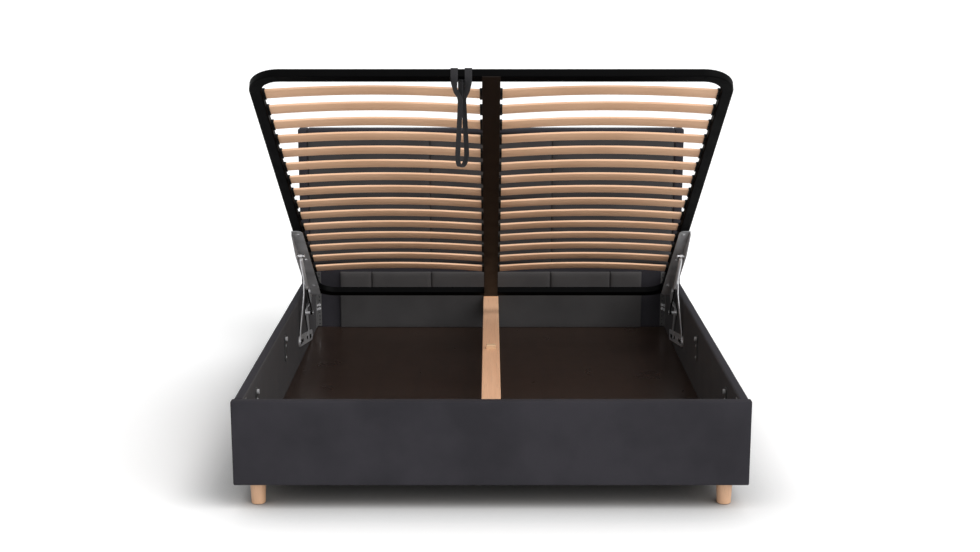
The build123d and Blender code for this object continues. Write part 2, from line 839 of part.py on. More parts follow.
def slat_runs():
    return [first_slat_run + place * slat_pitch for place in range(slat_count)]


def slat_holders(wall_x, inward):
    pieces = []
    for run in slat_runs():
        pieces += both_sides(raised(Pos(0, -run, 0) * holder(wall_x, inward)))
    return pieces


# Pull strap
def strap_band(x):
    """One turn of webbing round the foot bar."""
    width = tube_width + 2 * face_gap
    depth = tube_depth + 2 * face_gap
    wall = strap_thickness
    inner = block((0, -width / 2, -depth / 2), (strap_width, width / 2, depth / 2))
    inner = chamfer(inner.edges().filter_by(Axis.X), tube_edge_cut)
    half_width = width / 2 + wall
    half_depth = depth / 2 + wall
    outer = block((0, -half_width, -half_depth), (strap_width, half_width, half_depth))
    outer = chamfer(outer.edges().filter_by(Axis.X), tube_edge_cut + wall / 2)
    return raised(Pos(x - strap_width / 2, -foot_run, 0) * (outer - inner))


def strap_cross():
    """The part of the hitch that lies across the two turns, under the bar."""
    half = strap_band_offset + strap_width / 2
    top = -tube_depth / 2 - face_gap - strap_thickness
    body = block((-half, -strap_width / 2, top - strap_thickness), (half, strap_width / 2, top))
    return raised(Pos(strap_place, -foot_run, 0) * body)


def strap_route():
    """The hanging loop's points, across and down from the middle of the bar's underside."""
    return [(-8, 0), (-9, -52), (-12, -106), (-17, -160), (-19, -212), (-15, -256), (-6, -281), (8, -284),
            (19, -262), (23, -218), (22, -164), (18, -109), (12, -54), (8, 0)]


def strap_seat():
    """All that lies above the hitch's underside, where the hanging loop ends."""
    reach = 2 * strap_width
    low_z = -tube_depth / 2 - 2 * strap_thickness - 2 * face_gap
    return raised(Pos(strap_place, -foot_run, low_z) * block((-reach, -reach, 0), (reach, reach, reach)))


def strap_loop():
    """The hanging loop: a flat band that goes down, turns and comes back, twisted away from the bar."""
    points = strap_route()
    radii = []
    for before, point, after in zip(points, points[1:], points[2:]):
        bend = Vector(point[0] - before[0], point[1] - before[1])
        bend = bend.get_angle(Vector(after[0] - point[0], after[1] - point[1]))
        shorter = min(math.dist(before, point), math.dist(point, after))
        radii.append(strap_arc_share * shorter / math.tan(math.radians(bend / 2)))
    print("strap radii", [round(radius, 1) for radius in radii])
    path = FilletPolyline(*points, radius=radii)
    print("strap length", round(path.length, 1))
    face = trace(path, strap_thickness)
    band = extrude(Plane.XZ * face, amount=strap_width / 2, both=True)
    y, z = on_frame(foot_run, tube_depth / 2, open_frame_spot, open_angle)
    return Location((strap_place, y, z), (0, 0, strap_turn)) * band - strap_seat()


def pull_strap():
    pieces = [strap_band(strap_place - strap_band_offset), strap_band(strap_place + strap_band_offset)]
    pieces.append(strap_cross())
    pieces.append(strap_loop())
    return pieces


def save_box():
    save(foot_panel_board(), "foot_panel_board")
    save(foot_panel_cover(), "foot_panel_cover")
    for side, shape in zip(("right", "left"), both_sides(rail_board())):
        save(shape, "side_rail_" + side + "_board")
    for side, shape in zip(("right", "left"), both_sides(rail_cover())):
        save(shape, "side_rail_" + side + "_cover")
    for side, shape in zip(("right", "left"), both_sides(floor_panel())):
        save(shape, "floor_panel_" + side)
    save(Compound(floor_battens()), "floor_battens")
    save(Compound(front_legs()), "front_legs")
    save(Compound(rear_legs()), "rear_legs")
    save(centre_beam(), "centre_beam")
    save(Compound(beam_blocks()), "beam_blocks")
    save(centre_leg(), "centre_leg")
    save(Compound(corner_brackets()), "corner_brackets")
    save(Compound(corner_bolts()), "corner_bolts")
    save(Compound(guide_plates()), "guide_plates")
    save(Compound(guide_knobs()), "guide_knobs")
    save(Compound(frame_rests()), "frame_rests")


def save_head():
    save(headboard_board(), "headboard_board")
    save(headboard_border(), "headboard_border")
    save(Compound(headboard_tiles()), "headboard_tiles")
    save(headboard_lower_panel(), "headboard_lower_panel")
    save(head_end_panel(), "head_end_panel")
    save(Compound(head_end_tiles()), "head_end_tiles")


def save_mechanism():
    makers = {"hinge_base": hinge_base, "front_link": front_link, "rear_link": rear_link,
              "lift_arm": lift_arm, "gas_cylinder": gas_cylinder, "gas_rod": gas_rod}
    for name, maker in makers.items():
        for side, shape in zip(("right", "left"), both_sides(maker())):
            save(shape, name + "_" + side)
    save(Compound(hinge_pins()), "hinge_pins")
    save(Compound(arm_pins()), "arm_pins")
    save(Compound(arm_bolts()), "arm_bolts")


def save_frame():
    save(slat_frame_tube(), "slat_frame_tube")
    save(slat_frame_centre_bar(), "slat_frame_centre_bar")
    save(Compound(slat_holders(frame_width / 2 - tube_width, -1)), "slat_holders_side")
    save(Compound(slat_holders(centre_bar_width / 2, 1)), "slat_holders_centre")
    for number, run in enumerate(slat_runs(), 1):
        pair = both_sides(raised(Pos(0, -run, 0) * slat()))
        save(Compound(pair), "slat_row_{:02d}".format(number))
    save(Compound(pull_strap()), "pull_strap")


os.makedirs("parts", exist_ok=True)
save_box()
save_head()
save_mechanism()
save_frame()

print("front pivots", front_base_pivot, front_arm_pivot, "swing", front_swing)
print("rear pivots", rear_base_pivot, rear_arm_pivot, "swing", rear_swing)
print("gas pivots", gas_arm_pivot, gas_link_pivot, "closed", gas_arm_closed, gas_link_closed)
print("gas open", gas_open_length, "closed", gas_closed_length, "stroke", gas_stroke)
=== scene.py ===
import json
import math

import bmesh
import bpy
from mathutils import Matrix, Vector, noise


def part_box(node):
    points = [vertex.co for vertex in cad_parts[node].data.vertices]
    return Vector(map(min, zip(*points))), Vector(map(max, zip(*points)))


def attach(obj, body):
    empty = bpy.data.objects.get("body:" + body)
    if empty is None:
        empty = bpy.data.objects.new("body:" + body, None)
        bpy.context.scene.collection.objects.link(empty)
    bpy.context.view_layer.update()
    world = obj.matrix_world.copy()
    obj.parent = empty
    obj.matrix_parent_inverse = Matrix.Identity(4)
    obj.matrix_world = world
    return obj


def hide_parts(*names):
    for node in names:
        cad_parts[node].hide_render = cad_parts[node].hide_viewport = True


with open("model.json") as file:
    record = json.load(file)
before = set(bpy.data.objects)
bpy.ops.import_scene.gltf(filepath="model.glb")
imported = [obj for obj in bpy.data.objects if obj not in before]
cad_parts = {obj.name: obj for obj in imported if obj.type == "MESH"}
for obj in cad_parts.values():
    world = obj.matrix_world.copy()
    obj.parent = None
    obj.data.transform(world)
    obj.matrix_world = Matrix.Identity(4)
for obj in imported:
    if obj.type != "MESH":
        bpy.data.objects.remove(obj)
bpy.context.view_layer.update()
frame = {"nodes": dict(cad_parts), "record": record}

# The camera, in metres and degrees
camera_place = (-0.0040, -5.673, 1.7904)
camera_pitch = 77.81
camera_lens = 53.27
camera_sensor = 36.0
camera_reach = 500

# Colours, linear
leather_colour = (0.0395, 0.0375, 0.0440)
leather_dark = (0.0290, 0.0277, 0.0325)
# A lighter copy of the leather: painted light on the headboard's tiles and the head end's panel, under the
# raised frame
inner_painted_light_leather_colour = (0.0600, 0.0575, 0.0580)
inner_painted_light_leather_dark = (0.0480, 0.0460, 0.0465)
# The rails' inner faces: the same leather painted lighter, as painted light for the inside of the box
rail_inside_painted_light_colour = (0.0695, 0.0670, 0.0690)
# A still lighter copy of the leather: painted light on the small tiles at the head end
tile_painted_light_leather_colour = (0.0800, 0.0760, 0.0760)
tile_painted_light_leather_dark = (0.0640, 0.0610, 0.0615)
slat_light = (0.96, 0.61, 0.395)
slat_dark = (0.72, 0.42, 0.250)
leg_light = (0.73, 0.45, 0.28)
leg_dark = (0.56, 0.33, 0.195)
pine_light = (0.93, 0.57, 0.36)
pine_dark = (0.78, 0.44, 0.26)
block_light = (0.84, 0.58, 0.36)
block_dark = (0.66, 0.43, 0.25)
floor_light = (0.034, 0.020, 0.0145)
floor_dark = (0.026, 0.0155, 0.0115)
chip_light = (0.46, 0.33, 0.21)
chip_dark = (0.25, 0.16, 0.09)
zinc_light = (0.66, 0.66, 0.67)
zinc_dark = (0.46, 0.46, 0.48)
bright_light = (0.88, 0.88, 0.89)
bright_dark = (0.72, 0.72, 0.74)
tube_light = (0.90, 0.90, 0.91)
tube_dark = (0.78, 0.78, 0.80)
grey_coat = (0.330, 0.332, 0.340)
dull_zinc_colour = (0.075, 0.074, 0.074)
shadowed_zinc_colour = (0.040, 0.040, 0.040)
black_coat = (0.0008, 0.0008, 0.0009)
brown_coat = (0.0070, 0.0042, 0.0030)
plastic_colour = (0.004, 0.004, 0.004)
webbing_light = (0.026, 0.025, 0.028)
webbing_dark = (0.009, 0.009, 0.010)
lining_light = (0.026, 0.026, 0.028)
lining_dark = (0.010, 0.010, 0.011)

# Weave of the strap: waves a metre, across it and along it
threads_across = 5200
threads_along = 4200

# Light levels. Each sun has its direction, its angle in degrees and its strength
world_low = 0.30
world_high = 0.60
floor_white = 1.22
floor_grey = 0.80
floor_half = 120.0
# Painted contact shadow: near the bed the floor's seen colour darkens by ambient occlusion, down to a share
# of its white
contact_reach = 0.30
contact_shade = 0.10
contact_samples = 16
suns = {"key": ((-0.66, 0.36, -0.76), 52, 1.75), "front": ((-0.24, 0.93, -0.30), 34, 1.00)}

# The raised slat frame, in metres
frame_tilt = math.radians(34.2)
open_head = (0.663, 0.352)
first_slat_run = 0.262
slat_pitch = 0.1093
slat_rows = 15
peg_x = 0.7545
peg_sink = 0.0028
peg_profile = [(0, 0.0030), (0.0012, 0.0030), (0.0018, 0.0022)]

# Upholstery, in metres. The backing is the flat box behind the seams of a row of tiles
panel_overhang = 0.0008
tile_columns = 3
tile_rows = 2
tile_seam = 0.0004
tile_backing_depth = 0.013
head_end_seam = 0.0010
head_end_seam_shares = (0, 0.394, 0.789, 1)
head_end_backing_depth = 0.012
backing_edge = 0.003
backing_back = 0.0005
backing_radius = 0.001
backing_spacing = 0.2
coarse_ripples = 7.0
fine_ripples = 19.0
fine_ripple_share = 0.5
rippled_half = 0.01
draw_power = 9

# The cloth on the headboard's back and its staples, in metres
cloth_lap = 0.010
cloth_lift = 0.004
cloth_gap = 0.0006
cloth_columns = 60
cloth_rows = 34
cloth_sag = 0.0006
cloth_waves = 6
staple_inset = 0.007
staple_columns = 33
staple_rows = 18
staple_raise = 0.0016
staple_profile = [(0, 0.0003), (0.0005, 0.0006), (0.0095, 0.0006), (0.010, 0.0003)]

# Turned legs and their glides: how far in they stand, and (height, radius) up each one
leg_inset = 0.030
leg_profile = [(0.0012, 0.0218), (0.0016, 0.0229), (0.0028, 0.0238), (0.005, 0.0242), (0.030, 0.0252),
               (0.060, 0.0264), (0.0835, 0.0274), (0.0843, 0.0272), (0.0848, 0.0265)]
glide_profile = [(0.0, 0.0195), (0.0004, 0.0202), (0.0012, 0.0204)]

# The gas spring: its two pins, raised, and (distance, radius) along each turned part
gas_top = (0.214803, 0.603395)
gas_foot = (0.550, 0.280)
gas_shell = [(0.0065, 0.0040), (0.019, 0.0044), (0.0215, 0.0046), (0.0225, 0.0062), (0.0245, 0.0074),
             (0.230, 0.0074), (0.2315, 0.0068), (0.2345, 0.0068), (0.236, 0.0074), (0.2545, 0.0074),
             (0.2565, 0.0066), (0.257, 0.0040)]
gas_eye = [(-0.0075, 0.0058), (-0.0070, 0.0070), (0.0070, 0.0070), (0.0075, 0.0058)]
gas_rod_start = 0.2560
gas_rod_radius = 0.0035
gas_rod_short = 0.0250
gas_socket = [(-0.0255, 0.0040), (-0.0245, 0.0054), (-0.0060, 0.0054), (-0.0050, 0.0046)]
gas_ball = [(-0.0075, 0.0066), (-0.0065, 0.0078), (0.0065, 0.0078), (0.0075, 0.0066)]
gas_clip = [(-0.0010, 0.0086), (0.0, 0.0090), (0.0010, 0.0086)]
gas_clip_offset = 0.0055

# The strap, in metres: each route point is (across, upwards) from its place, in a plane turned by an angle
strap_place = (-0.097, -0.934518, 1.420745)
strap_turn = 42
strap_width = 0.024
strap_thickness = 0.0026
strap_route = [
    (-0.004, 0), (-0.004, -0.052), (-0.007, -0.106), (-0.0105, -0.160), (-0.0145, -0.212), (-0.018, -0.252),
    (-0.013, -0.284), (0.000, -0.287), (0.013, -0.278), (0.0225, -0.256), (0.020, -0.212), (0.0165, -0.160),
    (0.0125, -0.106), (0.0085, -0.052), (0.006, 0)]
route_resolution = 10

# One half of the hitch over the bar: each point is (to the side, backwards, upwards) from the strap's place
hitch_ends = [
    [(-0.0034, -0.0030, -0.076), (-0.0050, -0.0060, -0.060)],
    [(0.0070, 0.0063, -0.076), (0.0080, 0.0030, -0.060)]]
hitch_side = [
    (0.0125, -0.0115, -0.0480), (0.0210, -0.0145, -0.0320), (0.0235, -0.0175, -0.0120),
    (0.0230, -0.0186, 0.0100), (0.0230, -0.0146, 0.0172), (0.0230, -0.0056, 0.0304),
    (0.0230, -0.0010, 0.0364), (0.0230, 0.0061, 0.0320), (0.0230, 0.0276, 0.0174),
    (0.0230, 0.0343, 0.0125), (0.0230, 0.0310, 0.0070), (0.0190, 0.0272, 0.0010),
    (0.0080, 0.0272, -0.0010)]

# Where the hitch leaves the bar: below this level, and this far back, it turns into the loop's plane
hitch_level = 0.008
hitch_front = 0.015
hitch_turning = 0.032
hitch_bar_level = 0.010
bar_half_depth = 0.014
hitch_smoothing = 6

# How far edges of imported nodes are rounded, in metres
weld_distance = 0.00002
bevel_segments = 2
bevel_angle = math.radians(40)
sharp_angle = math.radians(35)
slat_names = ["slat_row_%02d" % number for number in range(1, slat_rows + 1)]
edge_widths = [
    (0.0018, slat_names),
    (0.0012, ["slat_frame_tube", "slat_frame_centre_bar", "lift_arm_left", "lift_arm_right"]),
    (0.0006, ["front_link_left", "front_link_right", "rear_link_left", "rear_link_right", "hinge_base_left",
              "hinge_base_right", "guide_plates", "corner_brackets", "frame_rests"]),
    (0.0008, ["slat_holders_side", "slat_holders_centre", "centre_beam", "beam_blocks"]),
    (0.0005, ["hinge_pins", "arm_pins", "arm_bolts", "corner_bolts", "guide_knobs"])]


# Material helpers
def new_material(name):
    """An empty node material with a Principled shader, and the parts that the other helpers need."""
    material = bpy.data.materials.new(name)
    material.use_nodes = True
    tree = material.node_tree
    tree.nodes.clear()
    output = tree.nodes.new("ShaderNodeOutputMaterial")
    shader = tree.nodes.new("ShaderNodeBsdfPrincipled")
    tree.links.new(shader.outputs["BSDF"], output.inputs["Surface"])
    return material, tree, shader


def place(tree, scale=(1, 1, 1), turn=(0, 0, 0)):
    """The object's own coordinates, turned and stretched."""
    source = tree.nodes.new("ShaderNodeTexCoord")
    mapping = tree.nodes.new("ShaderNodeMapping")
    mapping.vector_type = "TEXTURE" if turn != (0, 0, 0) else "POINT"
    tree.links.new(source.outputs["Object"], mapping.inputs["Vector"])
    if turn != (0, 0, 0):
        mapping.inputs["Rotation"].default_value = turn
        second = tree.nodes.new("ShaderNodeMapping")
        second.inputs["Scale"].default_value = scale
        tree.links.new(mapping.outputs["Vector"], second.inputs["Vector"])
        return second.outputs["Vector"]
    mapping.inputs["Scale"].default_value = scale
    return mapping.outputs["Vector"]


def cloud(tree, vector, scale, detail=3.0, roughness=0.5, distortion=0.0):
    """A noise value from 0 to 1."""
    node = tree.nodes.new("ShaderNodeTexNoise")
    node.inputs["Scale"].default_value = scale
    node.inputs["Detail"].default_value = detail
    node.inputs["Roughness"].default_value = roughness
    node.inputs["Distortion"].default_value = distortion
    tree.links.new(vector, node.inputs["Vector"])
    return node.outputs["Fac"]


def cells(tree, vector, scale, feature="F1", output="Distance"):
    """The distance or the random colour of Voronoi cells."""
    node = tree.nodes.new("ShaderNodeTexVoronoi")
    node.feature = feature
    node.inputs["Scale"].default_value = scale
    tree.links.new(vector, node.inputs["Vector"])
    return node.outputs[output]


def channel(tree, colour, name):
    """One channel of a colour."""
    separate = tree.nodes.new("ShaderNodeSeparateColor")
    tree.links.new(colour, separate.inputs["Color"])
    return separate.outputs[name]


def axis_value(tree, vector, name):
    """One component of a vector."""
    separate = tree.nodes.new("ShaderNodeSeparateXYZ")
    tree.links.new(vector, separate.inputs["Vector"])
    return separate.outputs[name]


def spread(tree, value, low, high, new_low, new_high):
    """A value mapped from one range to another, and held inside it."""
    node = tree.nodes.new("ShaderNodeMapRange")
    node.clamp = True
    tree.links.new(value, node.inputs["Value"])
    for name, number in (("From Min", low), ("From Max", high), ("To Min", new_low), ("To Max", new_high)):
        node.inputs[name].default_value = number
    return node.outputs["Result"]


def contrast(tree, value, low=0.3, high=0.7):
    """A noise value stretched, so that it runs from 0 to 1 between two levels."""
    return spread(tree, value, low, high, 0, 1)


def tint(tree, factor, first, second):
    """A colour between two, by a factor that is a socket."""
    node = tree.nodes.new("ShaderNodeMix")
    node.data_type = "RGBA"
    tree.links.new(factor, node.inputs["Factor"])
    for socket, colour in ((node.inputs[6], first), (node.inputs[7], second)):
        if isinstance(colour, bpy.types.NodeSocket):
            tree.links.new(colour, socket)
        else:
            socket.default_value = (*colour, 1)
    return node.outputs[2]


def combine(tree, operation, first, second):
    """Two values or a value and a number through one math step."""
    node = tree.nodes.new("ShaderNodeMath")
    node.operation = operation
    for socket, item in ((node.inputs[0], first), (node.inputs[1], second)):
        if isinstance(item, bpy.types.NodeSocket):
            tree.links.new(item, socket)
        else:
            socket.default_value = item
    return node.outputs[0]


def blend(tree, *parts):
    """The sum of several values, each times its share."""
    total = None
    for value, share in parts:
        scaled = combine(tree, "MULTIPLY", value, share)
        total = scaled if total is None else combine(tree, "ADD", total, scaled)
    return total


def bump(tree, shader, height, distance, strength, below=None):
    """Raises the surface by a height value, over an earlier bump if there is one."""
    node = tree.nodes.new("ShaderNodeBump")
    node.inputs["Distance"].default_value = distance
    node.inputs["Strength"].default_value = strength
    tree.links.new(height, node.inputs["Height"])
    if below is not None:
        tree.links.new(below, node.inputs["Normal"])
    tree.links.new(node.outputs["Normal"], shader.inputs["Normal"])
    return node.outputs["Normal"]


def toned(colour, times):
    """A colour made lighter or darker."""
    return tuple(part * times for part in colour)


# Materials
def leather(name, light, dark, inside=None):
    """Faux leather: a fine pebble grain, faint creases and a soft sheen. Faces towards the bed's middle plane
    can be given a lighter colour: painted light for the inside of the box, which the lamps leave darker."""
    material, tree, shader = new_material(name)
    vector = place(tree)
    patches = contrast(tree, cloud(tree, vector, 5, 4), 0.35, 0.65)
    pebbles = cells(tree, vector, 620, "SMOOTH_F1")
    valleys = contrast(tree, pebbles, 0.25, 0.75)
    colour = tint(tree, patches, dark, light)
    colour = tint(tree, combine(tree, "MULTIPLY", valleys, 0.35), colour, dark)
    # Painted light: faces that look towards the middle plane take the lighter inside colour
    if inside is not None:
        geometry = tree.nodes.new("ShaderNodeNewGeometry")
        across = [axis_value(tree, geometry.outputs[output], "X") for output in ("Normal", "Position")]
        inwards = spread(tree, combine(tree, "MULTIPLY", *across), -0.3, -0.7, 0, 1)
        colour = tint(tree, inwards, colour, inside)
    tree.links.new(colour, shader.inputs["Base Color"])
    rough = spread(tree, patches, 0, 1, 0.62, 0.72)
    rough = combine(tree, "ADD", rough, combine(tree, "MULTIPLY", valleys, 0.08))
    tree.links.new(rough, shader.inputs["Roughness"])
    shader.inputs["Specular IOR Level"].default_value = 0.05
    creases = bump(tree, shader, cloud(tree, vector, 28, 4, 0.55, 0.6), 0.0012, 0.35)
    grain = bump(tree, shader, pebbles, 0.00022, 0.7, creases)
    bump(tree, shader, cloud(tree, vector, 1500, 2), 0.00010, 0.5, grain)
    return material


def timber(name, light, dark, along, coat=0.0):
    """Planed wood whose grain runs along one axis: wide growth bands, fine fibres and short pores."""
    material, tree, shader = new_material(name)
    stretch = [1.0, 1.0, 1.0]
    stretch[along] = 0.045
    slow = place(tree, tuple(stretch))
    stretch[along] = 0.012
    fine = place(tree, tuple(stretch))
    bands = contrast(tree, cloud(tree, slow, 26, 5, 0.55, 1.4))
    fibres = contrast(tree, cloud(tree, fine, 420, 3, 0.6))
    pores = contrast(tree, cloud(tree, fine, 900, 1, 0.5), 0.62, 0.74)
    plain = contrast(tree, cloud(tree, place(tree), 2.2, 2))
    mixed = blend(tree, (bands, 0.55), (fibres, 0.25), (plain, 0.20))
    colour = tint(tree, mixed, dark, light)
    colour = tint(tree, combine(tree, "MULTIPLY", pores, 0.45), colour, toned(dark, 0.55))
    tree.links.new(colour, shader.inputs["Base Color"])
    tree.links.new(spread(tree, bands, 0, 1, 0.58, 0.42), shader.inputs["Roughness"])
    shader.inputs["Coat Weight"].default_value = coat
    shader.inputs["Coat Roughness"].default_value = 0.25
    first = bump(tree, shader, fibres, 0.00012, 0.5)
    bump(tree, shader, combine(tree, "SUBTRACT", 1.0, pores), 0.00015, 0.5, first)
    return material


def slat_wood():
    """Bent birch veneer: fine fibres along the slat, and each slat has its own shade."""
    material, tree, shader = new_material("birch_veneer")
    turn = (-frame_tilt, 0, 0)
    bands = contrast(tree, cloud(tree, place(tree, (0.05, 1, 1), turn), 34, 4, 0.55, 1.0))
    fibres = contrast(tree, cloud(tree, place(tree, (0.012, 1, 1), turn), 520, 3, 0.6))
    plain = contrast(tree, cloud(tree, place(tree, (0.6, 1, 1), turn), 7, 1), 0.35, 0.65)
    mixed = blend(tree, (bands, 0.4), (fibres, 0.25), (plain, 0.35))
    tree.links.new(tint(tree, mixed, slat_dark, slat_light), shader.inputs["Base Color"])
    tree.links.new(spread(tree, fibres, 0, 1, 0.55, 0.42), shader.inputs["Roughness"])
    bump(tree, shader, fibres, 0.00010, 0.5)
    return material


def chipboard():
    """Raw chipboard: flat chips of many shades."""
    material, tree, shader = new_material("raw_chipboard")
    vector = place(tree)
    chips = channel(tree, cells(tree, vector, 240, output="Color"), "Red")
    shade = contrast(tree, cloud(tree, vector, 160, 4, 0.7))
    mixed = combine(tree, "MULTIPLY", combine(tree, "ADD", shade, chips), 0.5)
    tree.links.new(tint(tree, mixed, chip_dark, chip_light), shader.inputs["Base Color"])
    shader.inputs["Roughness"].default_value = 0.85
    bump(tree, shader, mixed, 0.0004, 0.6)
    return material


def floor_board():
    """Dark brown coated board with a faint printed grain along the bed and a satin gloss."""
    material, tree, shader = new_material("dark_floor_board")
    bands = contrast(tree, cloud(tree, place(tree, (1, 0.06, 1)), 26, 4, 0.55, 0.3))
    fibres = contrast(tree, cloud(tree, place(tree, (1, 0.02, 1)), 150, 3, 0.6))
    mixed = blend(tree, (bands, 0.6), (fibres, 0.4))
    tree.links.new(tint(tree, mixed, floor_dark, floor_light), shader.inputs["Base Color"])
    smears = spread(tree, cloud(tree, place(tree), 7, 4), 0.3, 0.7, 0.27, 0.33)
    tree.links.new(smears, shader.inputs["Roughness"])
    shader.inputs["Specular IOR Level"].default_value = 0.4
    return material


def metal(name, light, dark, rough, share, brushed_along=None):
    """Bare or plated metal: faint patches, with fine lines along one axis where it is brushed."""
    material, tree, shader = new_material(name)
    scale = [1.0, 1.0, 1.0]
    if brushed_along is not None:
        scale[brushed_along] = 0.03
    lines = contrast(tree, cloud(tree, place(tree, tuple(scale)), 900, 3, 0.6))
    patches = contrast(tree, cloud(tree, place(tree), 60, 4))
    mixed = blend(tree, (lines, 0.4), (patches, 0.6))
    tree.links.new(tint(tree, mixed, dark, light), shader.inputs["Base Color"])
    shader.inputs["Metallic"].default_value = share
    tree.links.new(spread(tree, mixed, 0, 1, rough[1], rough[0]), shader.inputs["Roughness"])
    bump(tree, shader, lines, 0.00002, 0.25)
    return material


def zinc_plate():
    """Zinc plate: small bright and dull spangles."""
    material, tree, shader = new_material("zinc_plate")
    vector = place(tree)
    spangles = channel(tree, cells(tree, vector, 320, output="Color"), "Green")
    mottle = cloud(tree, vector, 45, 4)
    mixed = blend(tree, (spangles, 0.5), (mottle, 0.5))
    tree.links.new(tint(tree, mixed, zinc_dark, zinc_light), shader.inputs["Base Color"])
    shader.inputs["Metallic"].default_value = 0.6
    tree.links.new(spread(tree, mixed, 0.2, 0.8, 0.50, 0.34), shader.inputs["Roughness"])
    bump(tree, shader, mottle, 0.0001, 0.3)
    return material


def powder_coat(name, colour, rough, gloss=0.5):
    """Baked paint on steel: a fine orange peel and slightly worn gloss."""
    material, tree, shader = new_material(name)
    vector = place(tree)
    worn = contrast(tree, cloud(tree, vector, 14, 4))
    tree.links.new(tint(tree, worn, colour, toned(colour, 1.5)), shader.inputs["Base Color"])
    tree.links.new(spread(tree, worn, 0, 1, *rough), shader.inputs["Roughness"])
    shader.inputs["Specular IOR Level"].default_value = gloss
    bump(tree, shader, cloud(tree, vector, 900, 2), 0.00012, 0.5)
    return material


def moulded_plastic():
    """Dull black plastic with a moulded grain and faint scuffs."""
    material, tree, shader = new_material("moulded_plastic")
    vector = place(tree)
    scuffs = contrast(tree, cloud(tree, vector, 40, 4))
    colour = tint(tree, scuffs, plastic_colour, toned(plastic_colour, 2))
    tree.links.new(colour, shader.inputs["Base Color"])
    tree.links.new(spread(tree, scuffs, 0, 1, 0.45, 0.6), shader.inputs["Roughness"])
    shader.inputs["Specular IOR Level"].default_value = 0.12
    bump(tree, shader, cloud(tree, vector, 1400, 2), 0.00010, 0.5)
    return material


def webbing():
    """Woven strap: ribs across it, and warp threads along it, from the strap's own coordinates."""
    material, tree, shader = new_material("woven_webbing")
    source = tree.nodes.new("ShaderNodeTexCoord")
    threads = []
    for name, count in (("X", threads_across), ("Y", threads_along)):
        distance = axis_value(tree, source.outputs["UV"], name)
        threads.append(combine(tree, "SINE", combine(tree, "MULTIPLY", distance, count), 0))
    weave = spread(tree, combine(tree, "MULTIPLY", *threads), -1, 1, 0, 1)
    tree.links.new(tint(tree, weave, webbing_dark, webbing_light), shader.inputs["Base Color"])
    shader.inputs["Roughness"].default_value = 0.8
    shader.inputs["Specular IOR Level"].default_value = 0.25
    shader.inputs["Sheen Weight"].default_value = 0.05
    bump(tree, shader, weave, 0.0004, 0.7)
    return material


def back_lining():
    """Thin black non-woven cloth: pressed fibres and a faint emboss of dots."""
    material, tree, shader = new_material("back_lining")
    fibres = cloud(tree, place(tree, (1, 1, 0.4)), 700, 4, 0.7)
    colour = tint(tree, contrast(tree, fibres), lining_dark, lining_light)
    tree.links.new(colour, shader.inputs["Base Color"])
    shader.inputs["Roughness"].default_value = 0.9
    shader.inputs["Specular IOR Level"].default_value = 0.2
    first = bump(tree, shader, fibres, 0.0003, 0.6)
    bump(tree, shader, cells(tree, place(tree), 330), 0.0004, 0.6, first)
    return material


# One material for each slot of the record, and some for single nodes and pieces
materials = {
    "dark_leather": leather("dark_leather", leather_colour, leather_dark),
    "raw_board": chipboard(),
    "floor_board": floor_board(),
    "beech": timber("beech", leg_light, leg_dark, 2, coat=0.15),
    "pine": timber("pine", pine_light, pine_dark, 1),
    "birch": slat_wood(),
    "zinc_steel": zinc_plate(),
    "grey_steel": powder_coat("grey_powder_coat", grey_coat, (0.34, 0.46), 0.4),
    "bright_steel": metal("bright_steel", bright_light, bright_dark, (0.22, 0.34), 0.7),
    "bright_tube": metal("bright_tube", tube_light, tube_dark, (0.34, 0.44), 0.5, 1),
    "black_rod": powder_coat("black_rod", black_coat, (0.18, 0.26)),
    "black_frame": powder_coat("black_powder_coat", black_coat, (0.42, 0.55), 0.03),
    "black_plastic": moulded_plastic(),
    "black_webbing": webbing(),
}
lining = back_lining()
# Painted light: the same leather made lighter for the headboard's tiles and the head end's panel
inner_leather = leather("inner_leather", inner_painted_light_leather_colour, inner_painted_light_leather_dark)
# Painted light: the head end's small tiles in a lighter copy of the leather
tile_leather = leather("tile_leather", tile_painted_light_leather_colour, tile_painted_light_leather_dark)
# The rails' leather, with its inner faces painted lighter as painted light for the inside of the box
rail_leather = leather("rail_leather", leather_colour, leather_dark, rail_inside_painted_light_colour)
dull_zinc = powder_coat("dull_zinc", dull_zinc_colour, (0.38, 0.50), 0.35)
node_materials = {
    "slat_frame_centre_bar": powder_coat("dark_brown_coat", brown_coat, (0.34, 0.46), 0.10),
    "corner_brackets": dull_zinc,
    "frame_rests": dull_zinc,
    "guide_plates": powder_coat("shadowed_zinc", shadowed_zinc_colour, (0.40, 0.52), 0.35),
    "hinge_pins": materials["black_plastic"],
    "beam_blocks": timber("pine_blocks", block_light, block_dark, 0),
    "guide_knobs": materials["grey_steel"],
}


def dress_nodes():
    """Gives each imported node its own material, or else the one of its slot in the record."""
    slots = {row["node"]: row["material_slot"] for row in frame["record"]["subparts"]}
    for name, node in frame["nodes"].items():
        node.data.materials.clear()
        node.data.materials.append(node_materials.get(name, materials[slots[name]]))


# Mesh helpers
def add_piece(name, mesh, body, slot, replaced=(), material=None):
    """A new object that rides on a body and wears its slot's material."""
    piece = bpy.data.objects.new(name, mesh)
    bpy.context.scene.collection.objects.link(piece)
    mesh.materials.append(material or materials[slot])
    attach(piece, body)
    if replaced:
        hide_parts(*replaced)
    return piece


def finished_mesh(name, points, faces):
    """A smooth mesh whose faces all look outwards."""
    shape = bmesh.new()
    corners = [shape.verts.new(point) for point in points]
    for face in faces:
        shape.faces.new([corners[index] for index in face])
    bmesh.ops.recalc_face_normals(shape, faces=shape.faces)
    mesh = bpy.data.meshes.new(name)
    shape.to_mesh(mesh)
    shape.free()
    mesh.polygons.foreach_set("use_smooth", [True] * len(mesh.polygons))
    return mesh


